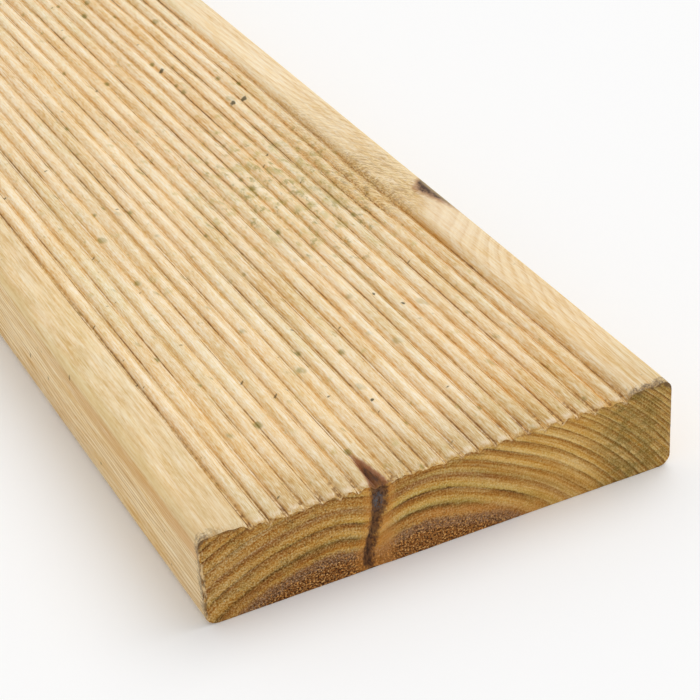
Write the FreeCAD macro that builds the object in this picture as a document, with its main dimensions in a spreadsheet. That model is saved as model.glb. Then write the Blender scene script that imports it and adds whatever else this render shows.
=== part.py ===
"""Reeded softwood decking board: one planed and grooved length of timber.

The board lies flat. X runs across its width, Y along its length and Z up through its thickness.
The origin is at the middle of the underside. All sizes are in millimetres.
"""

import FreeCAD, Part
import math
import os

import Sketcher

# The sizes that drive the board, each held once in the spreadsheet.
SIZES = {
    "board_length": 1800,
    "board_width": 120,
    "board_thickness": 24,
    # Rounding planed along the four long edges.
    "arris_radius": 3,
    # From each edge of the board to the middle of its outermost groove.
    "plain_margin": 12.5,
    # Nominal spacing of the reeds, which are spread evenly between the two outermost grooves.
    "reed_pitch": 4.3,
    # How far the tops of the reeds lie below the plain margins.
    "reed_recess": 1,
    # Flat left by the planer along the top of each reed.
    "reed_land": 0.7,
    # Radius of the rounded flank of a reed.
    "reed_radius": 2.2,
    # From the tops of the reeds to the floor of a groove.
    "groove_depth": 1.2,
    # Flat at the bottom of each groove.
    "groove_floor": 0.5,
    # From the middle of an outermost groove to the edge of the plain margin beside it.
    "shoulder_run": 2.3,
    # Radius of the rounded shoulder that falls from a margin into its outermost groove.
    "shoulder_radius": 3.2,
    # How far a cutter's outline stands above the tread face.
    "cutter_clearance": 1,
}

# The whole number of reeds that comes nearest to the nominal spacing, and the spacing that they then have.
REEDED_WIDTH = "(Sizes.board_width - 2 * Sizes.plain_margin)"
REED_COUNT = f"round({REEDED_WIDTH} / Sizes.reed_pitch)"
EVEN_PITCH = f"({REEDED_WIDTH} / {REED_COUNT})"
GROOVE_MOUTH = f"({EVEN_PITCH} - Sizes.reed_land)"

# A sketch's own two axes, and the two ends of an edge, as constraints number them.
VERTICAL_AXIS, HORIZONTAL_AXIS = range(-2, 0)
START, END = range(1, 3)


def make_sheet(doc):
    """The spreadsheet of driving sizes, one row each, with the name as its alias."""
    sheet = doc.addObject("Spreadsheet::Sheet", "Sizes")
    for row, (name, value) in enumerate(SIZES.items(), start=1):
        sheet.set(f"A{row}", name)
        sheet.set(f"B{row}", str(value))
        sheet.setAlias(f"B{row}", name)
    doc.recompute()
    return sheet


def section_sketch(body, name):
    """An empty sketch on the plane across the middle of the board: sketch x is X, and sketch y is Z."""
    sketch = body.newObject("Sketcher::SketchObject", name)
    planes = {feature.Role: feature for feature in body.Origin.OriginFeatures}
    sketch.AttachmentSupport = [(planes["XZ_Plane"], "")]
    sketch.MapMode = "FlatFace"
    return sketch


def add_outline(sketch, edges):
    """Adds edges, each starting where the one before it ends, and joins them into a closed outline.

    An edge is its geometry and the number of its end that comes first on the way round.
    """
    numbers = [sketch.addGeometry(geometry) for geometry, _ in edges]
    firsts = [first for _, first in edges]
    for i, number in enumerate(numbers):
        after = (i + 1) % len(numbers)
        last = END if firsts[i] == START else START
        sketch.addConstraint(
            Sketcher.Constraint("Coincident", number, last, numbers[after], firsts[after])
        )
    return numbers


def dimension(sketch, name, kind, *where, size):
    """A named dimension of the sketch, bound to an expression of the driving sizes."""
    index = sketch.addConstraint(Sketcher.Constraint(kind, *where))
    sketch.renameConstraint(index, name)
    sketch.setExpression(f"Constraints.{name}", size)


def line(start, end):
    """A straight sketch edge between two points."""
    return Part.LineSegment(FreeCAD.Vector(*start, 0), FreeCAD.Vector(*end, 0))


def make_blank(body, sheet):
    """The planed blank: a rectangle with its underside on Z 0, padded both ways along the length."""
    sketch = section_sketch(body, "blank_section")
    half, top = sheet.board_width / 2, sheet.board_thickness
    corners = [(-half, 0), (half, 0), (half, top), (-half, top)]
    edges = [(line(corners[i], corners[(i + 1) % 4]), START) for i in range(4)]
    bottom, right, upper, left = add_outline(sketch, edges)
    sketch.addConstraint(Sketcher.Constraint("Horizontal", upper))
    for number in (right, left):
        sketch.addConstraint(Sketcher.Constraint("Vertical", number))
    sketch.addConstraint(
        Sketcher.Constraint("Symmetric", bottom, START, bottom, END, VERTICAL_AXIS)
    )
    sketch.addConstraint(Sketcher.Constraint("PointOnObject", bottom, START, HORIZONTAL_AXIS))
    dimension(sketch, "width", "DistanceX", bottom, START, bottom, END, half * 2, size="Sizes.board_width")
    dimension(sketch, "thickness", "DistanceY", right, START, right, END, top, size="Sizes.board_thickness")

    blank = body.newObject("PartDesign::Pad", "blank")
    blank.Profile = sketch
    blank.SideType = "Symmetric"
    blank.setExpression("Length", "Sizes.board_length")
    return blank


def round_arrises(doc, body, blank):
    """The planed rounding of the four edges that run along the board."""
    doc.recompute()
    along = FreeCAD.Vector(0, 1, 0)
    long_edges = [
        f"Edge{number}"
        for number, edge in enumerate(blank.Shape.Edges, start=1)
        if edge.tangentAt(edge.FirstParameter).isParallel(along, Part.Precision.confusion())
    ]
    arrises = body.newObject("PartDesign::Fillet", "arrises")
    arrises.Base = (blank, long_edges)
    arrises.setExpression("Radius", "Sizes.arris_radius")
    return arrises


def flank(mouth, floor, radius):
    """The rounded flank of a reed, an arc from a groove's mouth down to its floor that bulges out of the wood."""
    run, drop = floor[0] - mouth[0], mouth[1] - floor[1]
    chord = math.hypot(run, drop)
    side = math.copysign(1, run)
    reach = math.sqrt(radius**2 - chord**2 / 4) / chord
    centre = (
        (mouth[0] + floor[0]) / 2 - side * drop * reach,
        (mouth[1] + floor[1]) / 2 - side * run * reach,
    )
    ends = sorted(math.atan2(y - centre[1], x - centre[0]) for x, y in (mouth, floor))
    circle = Part.Circle(FreeCAD.Vector(*centre, 0), FreeCAD.Vector(0, 0, 1), radius)
    return Part.ArcOfCircle(circle, *ends)


def even_pitch(sheet):
    """The spacing of the reeds, as the sheet's sizes give it."""
    reeded = sheet.board_width - 2 * sheet.plain_margin
    return reeded / round(reeded / sheet.reed_pitch)


def cut_along(body, name, sketch):
    """A pocket that carries a section right through the length of the board."""
    pocket = body.newObject("PartDesign::Pocket", name)
    pocket.Profile = sketch
    pocket.Type = "ThroughAll"
    pocket.SideType = "Symmetric"
    return pocket


def make_reed_bed(body, sheet):
    """The sunk bed that the reeds are cut in, with the outermost groove along each of its sides.

    The bed's floor lies at the tops of the reeds. A rounded shoulder rises from each outermost groove
    to the plain margin. The sketch's own origin lies on the tread face, at the middle of the board.
    """
    sketch = section_sketch(body, "bed_section")
    sketch.setExpression("AttachmentOffset.Base.y", "Sizes.board_thickness")

    outermost = sheet.board_width / 2 - sheet.plain_margin
    floor = sheet.groove_floor / 2
    mouth = (even_pitch(sheet) - sheet.reed_land) / 2
    bed = -sheet.reed_recess
    bottom = bed - sheet.groove_depth
    # The points of the right half, from the middle of the board outwards, and those of the left half.
    right = [
        (outermost - mouth, bed),
        (outermost - floor, bottom),
        (outermost + floor, bottom),
        (outermost + sheet.shoulder_run, 0),
        (outermost + sheet.shoulder_run, sheet.cutter_clearance),
    ]
    crest, inner, outer, shoulder, rim = right
    left_crest, left_inner, left_outer, left_shoulder, left_rim = [(-x, z) for x, z in right]
    (
        bed_floor, reed_side, groove_floor, shoulder_side, riser,
        cover, left_riser, left_shoulder_side, left_groove_floor, left_reed_side,
    ) = add_outline(
        sketch,
        [
            (line(left_crest, crest), START),
            (flank(crest, inner, sheet.reed_radius), END),
            (line(inner, outer), START),
            (flank(shoulder, outer, sheet.shoulder_radius), END),
            (line(shoulder, rim), START),
            (line(rim, left_rim), START),
            (line(left_rim, left_shoulder), START),
            (flank(left_shoulder, left_outer, sheet.shoulder_radius), END),
            (line(left_outer, left_inner), START),
            (flank(left_crest, left_inner, sheet.reed_radius), END),
        ],
    )
    mirrored = [
        (bed_floor, START, bed_floor, END),
        (groove_floor, START, left_groove_floor, END),
        (groove_floor, END, left_groove_floor, START),
        (riser, START, left_riser, END),
    ]
    for pair in mirrored:
        sketch.addConstraint(Sketcher.Constraint("Symmetric", *pair, VERTICAL_AXIS))
    for number in (groove_floor, cover):
        sketch.addConstraint(Sketcher.Constraint("Horizontal", number))
    for number in (riser, left_riser):
        sketch.addConstraint(Sketcher.Constraint("Vertical", number))
    sketch.addConstraint(Sketcher.Constraint("PointOnObject", riser, START, HORIZONTAL_AXIS))
    sketch.addConstraint(Sketcher.Constraint("Equal", reed_side, left_reed_side))
    sketch.addConstraint(Sketcher.Constraint("Equal", shoulder_side, left_shoulder_side))

    dimension(
        sketch, "bed_width", "DistanceX", bed_floor, START, bed_floor, END, crest[0] * 2,
        size=f"{REEDED_WIDTH} - {GROOVE_MOUTH}",
    )
    dimension(
        sketch, "recess", "DistanceY", bed_floor, END, riser, START, -bed, size="Sizes.reed_recess"
    )
    dimension(
        sketch, "floor", "DistanceX", groove_floor, START, groove_floor, END, floor * 2,
        size="Sizes.groove_floor",
    )
    dimension(
        sketch, "floor_span", "DistanceX", left_groove_floor, START, groove_floor, END, outer[0] * 2,
        size=f"{REEDED_WIDTH} + Sizes.groove_floor",
    )
    dimension(
        sketch, "depth", "DistanceY", groove_floor, END, riser, START, -bottom,
        size="Sizes.reed_recess + Sizes.groove_depth",
    )
    dimension(
        sketch, "shoulder_span", "DistanceX", left_riser, END, riser, START, shoulder[0] * 2,
        size=f"{REEDED_WIDTH} + 2 * Sizes.shoulder_run",
    )
    dimension(
        sketch, "lid", "DistanceY", riser, START, riser, END, rim[1], size="Sizes.cutter_clearance"
    )
    dimension(sketch, "reed", "Radius", reed_side, sheet.reed_radius, size="Sizes.reed_radius")
    dimension(
        sketch, "shoulder", "Radius", shoulder_side, sheet.shoulder_radius, size="Sizes.shoulder_radius"
    )
    return cut_along(body, "reed_bed", sketch)


def make_first_groove(body, sheet):
    """The first groove in from the left shoulder: the gap between two rounded reeds.

    The sketch's own origin lies at the tops of the reeds, at the middle of the groove.
    """
    sketch = section_sketch(body, "groove_section")
    sketch.setExpression("AttachmentOffset.Base.x", f"{EVEN_PITCH} - {REEDED_WIDTH} / 2")
    sketch.setExpression("AttachmentOffset.Base.y", "Sizes.board_thickness - Sizes.reed_recess")

    mouth = (even_pitch(sheet) - sheet.reed_land) / 2
    floor = sheet.groove_floor / 2
    depth, lid = sheet.groove_depth, sheet.cutter_clearance
    left_floor, right_floor = (-floor, -depth), (floor, -depth)
    left_mouth, right_mouth = (-mouth, 0), (mouth, 0)
    left_lid, right_lid = (-mouth, lid), (mouth, lid)
    base, right_flank, right_riser, cover, left_riser, left_flank = add_outline(
        sketch,
        [
            (line(left_floor, right_floor), START),
            (flank(right_mouth, right_floor, sheet.reed_radius), END),
            (line(right_mouth, right_lid), START),
            (line(right_lid, left_lid), START),
            (line(left_lid, left_mouth), START),
            (flank(left_mouth, left_floor, sheet.reed_radius), END),
        ],
    )
    sketch.addConstraint(Sketcher.Constraint("Horizontal", cover))
    for number in (right_riser, left_riser):
        sketch.addConstraint(Sketcher.Constraint("Vertical", number))
    sketch.addConstraint(Sketcher.Constraint("Symmetric", base, START, base, END, VERTICAL_AXIS))
    sketch.addConstraint(
        Sketcher.Constraint("Symmetric", right_riser, START, left_riser, END, VERTICAL_AXIS)
    )
    sketch.addConstraint(Sketcher.Constraint("PointOnObject", right_riser, START, HORIZONTAL_AXIS))
    sketch.addConstraint(Sketcher.Constraint("Equal", left_flank, right_flank))
    dimension(sketch, "floor", "DistanceX", base, START, base, END, floor * 2, size="Sizes.groove_floor")
    dimension(
        sketch, "mouth", "DistanceX", left_riser, END, right_riser, START, mouth * 2, size=GROOVE_MOUTH
    )
    dimension(
        sketch, "depth", "DistanceY", base, END, right_riser, START, depth, size="Sizes.groove_depth"
    )
    dimension(
        sketch, "lid", "DistanceY", right_riser, START, right_riser, END, lid, size="Sizes.cutter_clearance"
    )
    dimension(sketch, "flank", "Radius", right_flank, sheet.reed_radius, size="Sizes.reed_radius")
    return cut_along(body, "first_groove", sketch)


def repeat_grooves(body, groove):
    """The other grooves between the two outermost ones, evenly spaced across the bed."""
    grooves = body.newObject("PartDesign::LinearPattern", "grooves")
    grooves.Originals = [groove]
    grooves.Direction = (groove.Profile[0], ["H_Axis"])
    grooves.Mode = "Extent"
    grooves.setExpression("Length", f"{REEDED_WIDTH} - 2 * {EVEN_PITCH}")
    grooves.setExpression("Occurrences", f"{REED_COUNT} - 1")
    body.Tip = grooves
    return grooves


def make_board(doc, sheet):
    """The whole board, in the order that it is made: planed, rounded along its edges, then reeded."""
    body = doc.addObject("PartDesign::Body", "decking_board")
    body.Label = "decking_board"
    blank = make_blank(body, sheet)
    round_arrises(doc, body, blank)
    make_reed_bed(body, sheet)
    repeat_grooves(body, make_first_groove(body, sheet))
    doc.recompute()
    return body


def check(doc, sub_parts):
    """Stops the script if an object failed to compute or a sub-part isn't a valid solid."""
    for item in doc.Objects:
        if "Invalid" in item.State or "Error" in item.State:
            raise RuntimeError(f"{item.Label} failed: {item.State}")
    for part in sub_parts:
        if part.Shape.isNull() or not part.Shape.isValid() or len(part.Shape.Solids) != 1:
            raise RuntimeError(f"{part.Label} isn't one valid solid")


def main():
    """Builds the board and writes its STEP file."""
    doc = FreeCAD.newDocument("decking_board")
    sheet = make_sheet(doc)
    sub_parts = [make_board(doc, sheet)]
    check(doc, sub_parts)
    os.makedirs("parts", exist_ok=True)
    for part in sub_parts:
        part.Shape.exportStep(f"parts/{part.Label}.step")
        size = part.Shape.BoundBox
        print(part.Label, size.XLength, size.YLength, size.ZLength, part.Shape.Volume)


main()
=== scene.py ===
"""A reeded softwood decking board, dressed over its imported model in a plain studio.

Shapes and fields are worked out in millimetres, in the board's own frame: x across, y along from the
middle of the length, z up from the underside. Blender's meshes are in metres in the same frame.
"""

import itertools
import logging
import math
from dataclasses import dataclass
from enum import IntEnum
from typing import Any

import bpy
import numpy as np
from mathutils import Matrix, Vector


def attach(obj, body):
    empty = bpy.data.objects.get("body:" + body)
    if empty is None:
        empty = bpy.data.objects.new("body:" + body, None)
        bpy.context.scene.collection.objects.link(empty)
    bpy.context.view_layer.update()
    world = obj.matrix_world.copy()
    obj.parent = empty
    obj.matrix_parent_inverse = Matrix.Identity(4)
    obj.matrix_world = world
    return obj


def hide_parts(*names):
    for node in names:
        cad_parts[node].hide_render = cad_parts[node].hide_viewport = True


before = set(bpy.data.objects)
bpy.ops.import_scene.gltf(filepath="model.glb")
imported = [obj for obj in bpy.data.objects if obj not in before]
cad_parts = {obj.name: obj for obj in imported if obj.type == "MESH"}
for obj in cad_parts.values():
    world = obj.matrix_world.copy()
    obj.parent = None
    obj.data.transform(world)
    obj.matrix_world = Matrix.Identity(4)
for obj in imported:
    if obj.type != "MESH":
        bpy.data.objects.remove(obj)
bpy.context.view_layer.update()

MM = 0.001
LOG = logging.getLogger("decking_board")

Array = np.ndarray
Colour = tuple[float, float, float, float]
Triple = tuple[float, float, float]
Span = tuple[float, float]
Socket = bpy.types.NodeSocket
Tree = bpy.types.NodeTree


class Finish(IntEnum):
    """The board's two finishes, numbered as its material slots."""

    PLANED = 0
    SAWN = 1


def linear(colour: str) -> Colour:
    """Turn an sRGB hex colour into linear light."""
    shares = (int(colour[i : i + 2], 16) / 255 for i in (1, 3, 5))
    red, green, blue = (s / 12.92 if s <= 0.04045 else ((s + 0.055) / 1.055) ** 2.4 for s in shares)
    return red, green, blue, 1.0


def ease(low: float | Array, high: float | Array, value: Array) -> Array:
    """Rise smoothly from 0 where value is low to 1 where it is high."""
    share = np.clip((value - low) / (high - low), 0.0, 1.0)
    return share * share * (3.0 - 2.0 * share)


def add_node(
    tree: Tree,
    kind: str,
    inputs: dict[str | int, Any] | None = None,
    out: str | int = 0,
    stops: tuple[tuple[float, Any], ...] = (),
    **settings: Any,
) -> Socket:
    """Add one node, set it up and wire it.

    Args:
        tree: node tree that gets the node.
        kind: the node's type without its ShaderNode prefix.
        inputs: a constant or an output socket for each input, by name or number.
        out: name or number of the output to hand back.
        stops: a colour ramp's stops, each a position and a grey value or linear colour.
        settings: the node's own properties.

    Returns:
        The chosen output socket.
    """
    node = tree.nodes.new("ShaderNode" + kind)
    for name, value in settings.items():
        setattr(node, name, value)
    for key, value in (inputs or {}).items():
        if isinstance(value, Socket):
            tree.links.new(value, node.inputs[key])
        else:
            node.inputs[key].default_value = value
    for number, (position, value) in enumerate(stops):
        elements = node.color_ramp.elements
        stop = elements[number] if number < 2 else elements.new(position)
        stop.position = position
        stop.color = value if isinstance(value, tuple) else (value, value, value, 1.0)
    return node.outputs[out] if node.outputs else node


@dataclass(frozen=True)
class LatticeNoise:
    """Smooth random values between the points of a repeating lattice."""

    seed: int
    size: int = 64

    def at(self, x: Array, y: Array, z: Array | float = 0.0) -> Array:
        """Give the noise at each place.

        Formula: the eight lattice values round the place, each weighted by the eased distance from
        the opposite corner of the cell.

        Args:
            x: first coordinate, in lattice steps.
            y: second coordinate, in lattice steps.
            z: third coordinate, in lattice steps.

        Returns:
            Values from -1 to 1.
        """
        table = np.random.default_rng(self.seed).uniform(-1.0, 1.0, (self.size,) * 3)
        places = np.broadcast_arrays(x, y, z)
        cells = [np.floor(p).astype(int) for p in places]
        parts = [ease(0.0, 1.0, p - c) for p, c in zip(places, cells)]
        total = np.zeros(places[0].shape)
        for corner in itertools.product((0, 1), repeat=3):
            weight = math.prod(p if far else 1.0 - p for p, far in zip(parts, corner))
            spot = tuple((c + far) % self.size for c, far in zip(cells, corner))
            total += weight * table[spot]
        return total


@dataclass(frozen=True)
class ReededSection:
    """The milled section: plain margins, a sunk bed of rounded reeds and rounded arrises."""

    width: float = 120.0
    thickness: float = 24.0
    arris: float = 3.0
    plain_margin: float = 12.5
    reeds: int = 22
    recess: float = 1.0
    land: float = 0.7
    reed_radius: float = 2.2
    groove_depth: float = 1.2
    groove_floor: float = 0.5
    shoulder_run: float = 2.3
    shoulder_radius: float = 3.2
    arris_steps: int = 6
    margin_steps: int = 5
    flank_steps: int = 4
    side_steps: int = 18
    underside_steps: int = 24

    @property
    def half(self) -> float:
        """Half the width."""
        return self.width / 2

    @property
    def outermost(self) -> float:
        """Distance of the outermost groove from the middle."""
        return self.half - self.plain_margin

    @property
    def pitch(self) -> float:
        """Distance between grooves."""
        return 2 * self.outermost / self.reeds

    @property
    def crest(self) -> float:
        """Height of the tops of the reeds."""
        return self.thickness - self.recess

    def fall(self, out: Array, run: float, drop: float, radius: float) -> Array:
        """Height of a convex flank below its top.

        Formula: a circle of the radius passes through the flank's top and its foot, with its centre
        inside the wood, and the height is that circle's upper half at each distance out.

        Args:
            out: distances from the flank's top, from 0 to run.
            run: distance from the top to the foot.
            drop: height of the top above the foot.
            radius: radius of the flank.

        Returns:
            Heights, 0 at the top and -drop at the foot.
        """
        chord = math.hypot(run, drop)
        reach = math.sqrt(radius**2 - chord**2 / 4) / chord
        across, down = run / 2 - reach * drop, -drop / 2 - reach * run
        return down + np.sqrt(radius**2 - (out - across) ** 2)

    def tread(self) -> tuple[Array, Array]:
        """Give the tread face from the left side's top to the right side's.

        Formula: a quarter circle for each arris, a level margin, a tall convex shoulder, then the
        reeds, each a convex flank, a level land and the mirrored flank, with level groove floors.

        Returns:
            The points' distances across and their heights.
        """
        floor = self.groove_floor / 2
        mouth = (self.pitch - self.land) / 2
        turn = np.linspace(0.0, math.pi / 2, self.arris_steps + 1)
        step = np.linspace(0.0, 1.0, self.flank_steps + 1)
        margin = np.linspace(self.arris, self.plain_margin - self.shoulder_run, self.margin_steps + 1)
        rim = self.thickness - self.arris

        shoulder_run = self.shoulder_run - floor
        shoulder = self.fall(
            step * shoulder_run, shoulder_run, self.recess + self.groove_depth, self.shoulder_radius
        )
        edge_x = np.concatenate([
            self.arris * (1.0 - np.cos(turn)),
            margin[1:],
            self.plain_margin - self.shoulder_run + step[1:] * shoulder_run,
        ])
        edge_z = np.concatenate([
            rim + self.arris * np.sin(turn),
            np.full(self.margin_steps, self.thickness),
            self.thickness + shoulder[1:],
        ])

        reed_run = mouth - floor
        flank = self.crest + self.fall(step * reed_run, reed_run, self.groove_depth, self.reed_radius)
        rise = floor + (1.0 - step[::-1]) * reed_run
        reed_x = np.concatenate([rise, [self.pitch / 2], self.pitch - rise[::-1]])
        reed_z = np.concatenate([flank[::-1], [self.crest], flank])
        starts = self.pitch * np.arange(self.reeds) - self.outermost
        bed_x = (starts[:, None] + reed_x).ravel()
        bed_z = np.tile(reed_z, self.reeds)

        across = np.concatenate([edge_x - self.half, bed_x, self.half - edge_x[::-1]])
        return across, np.concatenate([edge_z, bed_z, edge_z[::-1]])

    def underside(self) -> tuple[Array, Array]:
        """Give the underside from left to right: an arris, a level run and an arris."""
        turn = np.linspace(0.0, math.pi / 2, self.arris_steps + 1)
        level = np.linspace(self.arris - self.half, self.half - self.arris, self.underside_steps + 1)
        edge = self.half - self.arris * (1.0 - np.cos(turn))
        across = np.concatenate([-edge, level[1:-1], edge[::-1]])
        ends = self.arris * (1.0 - np.sin(turn))
        return across, np.concatenate([ends, np.zeros(len(level) - 2), ends[::-1]])

    def groove_share(self, x: Array, z: Array) -> Array:
        """Depth below the reeds or the margin, from 0 on top to 1 on a groove's floor."""
        over_bed = np.abs(x) < self.outermost
        top = np.where(over_bed, self.crest, self.thickness)
        deep = np.where(over_bed, self.groove_depth, self.groove_depth + self.recess)
        inside = np.abs(x) <= self.half - self.arris
        return np.where(inside, np.clip((top - z) / deep, 0.0, 1.0), 0.0)


@dataclass(frozen=True)
class Oval:
    """An oval on the tread, with its middle's distance across and its distance behind the branch."""

    across: float
    behind: float
    half_width: float
    half_length: float

    def place(self, x: Array, run: Array) -> Array:
        """Distance from the middle, 1 on the oval's rim."""
        return np.hypot((x - self.across) / self.half_width, (run - self.behind) / self.half_length)


@dataclass(frozen=True)
class Branch:
    """A branch stub that leaves the wood at the right arris and turns the grain round itself."""

    mouth: Triple = (60.2, -785.0, 23.4)
    inward: Triple = (-0.62, 0.46, -0.64)
    along_share: float = 0.5
    bulges: Span = (13.0, 10.0)
    spreads: Span = (21.0, 45.0)
    near_end: float = -900.0
    end_reach: float = 60.0
    torn_close: Oval = Oval(48.5, 13.0, 13.0, 24.0)
    torn_wide: Oval = Oval(48.0, 36.0, 18.0, 46.0)
    pale_oval: Oval = Oval(55.0, -18.0, 5.5, 14.0)
    bark_line: Span = (60.5, 22.5)
    bark_thickness: float = 5.3
    bark_rise: float = 7.5
    bark_tail: float = 21.0

    def distance(self, x: Array, y: Array, z: Array) -> Array:
        """Distance of each place from the branch's axis, counted half along the grain."""
        axis = np.array(self.inward) / np.linalg.norm(self.inward)
        gap = np.stack([x - self.mouth[0], y - self.mouth[1], z - self.mouth[2]], axis=-1)
        side = gap - (gap @ axis)[..., None] * axis
        side[..., 1] *= self.along_share
        return np.linalg.norm(side, axis=-1)

    def push(self, x: Array, y: Array, z: Array) -> Array:
        """How far the growth rings are carried outwards.

        Formula: a bell round the branch's axis, and a wider one that rises from nought at the near end.
        """
        gap = self.distance(x, y, z)
        close, wide = (b * np.exp(-((gap / s) ** 2)) for b, s in zip(self.bulges, self.spreads))
        return close + wide * ease(0.0, self.end_reach, y - self.near_end)

    def torn(self, x: Array, y: Array) -> Array:
        """Share of torn grain: a full soft oval beside the branch, and a longer half one behind it."""
        run = y - self.mouth[1]
        close = ease(1.25, 0.5, self.torn_close.place(x, run))
        wide = 0.5 * ease(1.15, 0.5, self.torn_wide.place(x, run))
        return np.maximum(close, wide)

    def halo(self, x: Array, y: Array) -> Array:
        """Place in the pale oval before the branch: below 1 inside it."""
        return self.pale_oval.place(x, y - self.mouth[1])

    def bark(self, x: Array, y: Array, z: Array) -> Array:
        """Distance from the bark's edge, negative inside.

        Formula: bark round a line along the arris, as thick as a blunt rise and a longer thin tail
        towards the near end let it be.
        """
        run = y - self.mouth[1]
        blunt = 1.0 - (run / self.bark_rise) ** 2
        thin = 1.0 - (np.abs(run) / self.bark_tail) ** 1.1
        share = np.maximum(np.where(run > 0, blunt, thin), -0.5)
        gap = np.hypot(x - self.bark_line[0], 0.8 * (z - self.bark_line[1]))
        return gap - self.bark_thickness * share


@dataclass(frozen=True)
class BarkPocket:
    """A seam of bark and resin through the near end that tapers out along the tread."""

    end: float = -900.0
    length: float = 10.5
    foot: float = -20.2
    lean: float = 3.6
    lean_heights: Span = (2.0, 18.0)
    half_width: float = 1.25
    widening: float = 0.65
    wide_heights: Span = (11.0, 17.0)
    drift: float = 0.25
    dip_depth: float = 4.6
    dip_height: float = 12.0
    dip_length: Span = (260.0, 20.0)

    def middle(self, z: Array) -> Array:
        """Distance across of the seam's middle at each height."""
        return self.foot + self.lean * ease(*self.lean_heights, z)

    def distance(self, x: Array, y: Array, z: Array) -> Array:
        """Signed distance from the seam's side, negative inside.

        Formula: the seam's half width grows with height and shrinks to a point along the grain.
        """
        along = np.clip((y - self.end) / self.length, 0.0, None)
        taper = 1.0 - 0.95 * np.minimum(along, 1.0) ** 0.75
        half = (self.half_width + self.widening * ease(*self.wide_heights, z)) * taper
        half = half - 2.0 * np.maximum(along - 1.0, 0.0)
        return np.abs(x - self.middle(z) + self.drift * np.minimum(along, 1.5)) - half

    def dip(self, x: Array, y: Array) -> Array:
        """How far the growth rings sink towards the pith beside the seam.

        Formula: a bell with a steeper right flank, which fades to a third away from the near end.
        """
        gap = x - self.middle(np.asarray(self.dip_height))
        flanks = ((8.2, 1.6), (7.0, 1.3))
        left, right = (np.exp(-((np.abs(gap) / reach) ** power)) for reach, power in flanks)
        bell = np.where(gap < 0, left, right)
        return self.dip_depth * bell * (0.35 + 0.65 * ease(*self.dip_length, y - self.end))


@dataclass(frozen=True)
class GrowthRings:
    """Growth rings round a pith below the board, narrower towards the bark."""

    pith: Span = (-17.0, -50.0)
    first_radius: float = 64.0
    first_spacing: float = 4.3
    narrowing: float = 33.0
    offset: float = 0.274
    heart_radius: float = 59.3
    near_end: float = -900.0
    drift_reach: Span = (7.0, 5.0)
    drift_length: Span = (420.0, 350.0)
    drift_rows: Span = (0.5, 9.5)
    wander_reach: float = 0.55
    wander_size: Triple = (16.0, 140.0, 16.0)
    flattening: float = 2.2
    wander: LatticeNoise = LatticeNoise(11)
    drift: LatticeNoise = LatticeNoise(12)

    def radius(self, x: Array, y: Array, z: Array) -> Array:
        """Distance from the pith, which drifts slowly along the length away from the near end."""
        away = ease(30.0, 300.0, y - self.near_end)
        drifts = zip(self.pith, self.drift_reach, self.drift_length, self.drift_rows)
        pith_x, pith_z = (
            start + reach * away * self.drift.at(y / length, 0.0 * y + row)
            for start, reach, length, row in drifts
        )
        spots = (place / size for place, size in zip((x, y, z), self.wander_size))
        waver = self.wander_reach * self.wander.at(*spots)
        flatter = self.flattening * ease(-28.0, -60.0, x)
        return np.hypot(x - pith_x, z - pith_z) + waver - flatter

    def count(self, radius: Array) -> Array:
        """Number of rings out to a radius.

        Formula: the spacing shrinks exponentially with the radius, so the count is the integral of
        its inverse, an exponential as well.
        """
        return self.offset + self.narrowing / self.first_spacing * (
            np.exp((radius - self.first_radius) / self.narrowing) - 1.0
        )


@dataclass(frozen=True)
class Shell:
    """The board's points and faces, with the numbers of rows along it and of points round its outline.

    The quads are the long faces' and then each end's. The triangles are each end's.
    """

    points: Array
    quads: list[Array]
    triangles: list[Array]
    along: int
    around: int


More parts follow.
